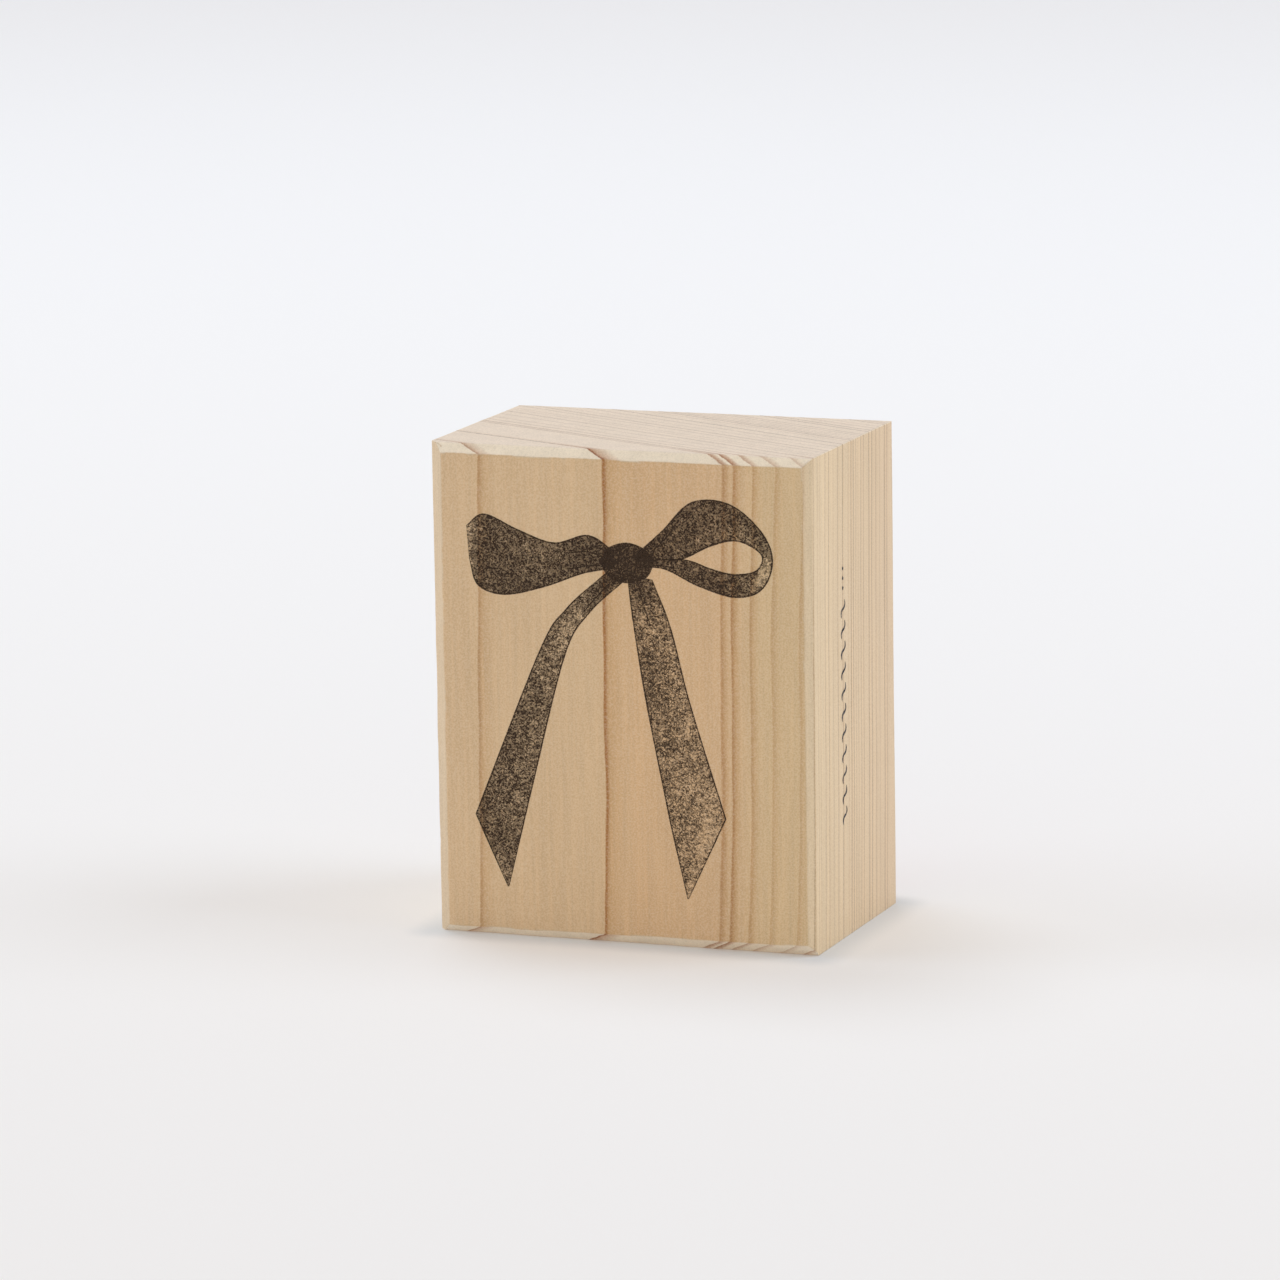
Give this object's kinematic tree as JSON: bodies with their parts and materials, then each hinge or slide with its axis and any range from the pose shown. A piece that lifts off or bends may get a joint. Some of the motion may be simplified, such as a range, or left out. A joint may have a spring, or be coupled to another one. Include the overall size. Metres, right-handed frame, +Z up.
{
  "type": "rubber stamp",
  "caption": "Wood-mounted craft stamp: a bevelled softwood block with a printed index picture, a foam cushion and a relief rubber die showing a ribbon bow.",
  "frame": {"origin": "bottom centre of the whole stamp as it stands on its small end", "axes": "+Z up, along the block's longest side and its grain; -Y towards the printed index face; +Y towards the rubber die; +X towards the side face with the small mark"},
  "size_m": [0.0406, 0.0304, 0.05],
  "materials": {
    "softwood": "satin",
    "pigment_ink": "matte",
    "adhesive_film": "satin",
    "cushion_foam": "matte",
    "die_rubber": "satin"
  },
  "bodies": {
    "mount": {"wood_block": "softwood", "index_print": "pigment_ink", "side_mark": "pigment_ink", "mount_adhesive": "adhesive_film", "cushion": "cushion_foam"},
    "die": {"die_adhesive": "adhesive_film", "rubber_die": "die_rubber"}
  },
  "joints": [
    {"name": "cushion_give", "type": "slide", "parent": "mount", "child": "die", "axis": [0, -1, 0], "range_m": [0, 0.0008], "stiffness_N_per_m": 20000, "deforming": ["cushion"]}
  ]
}
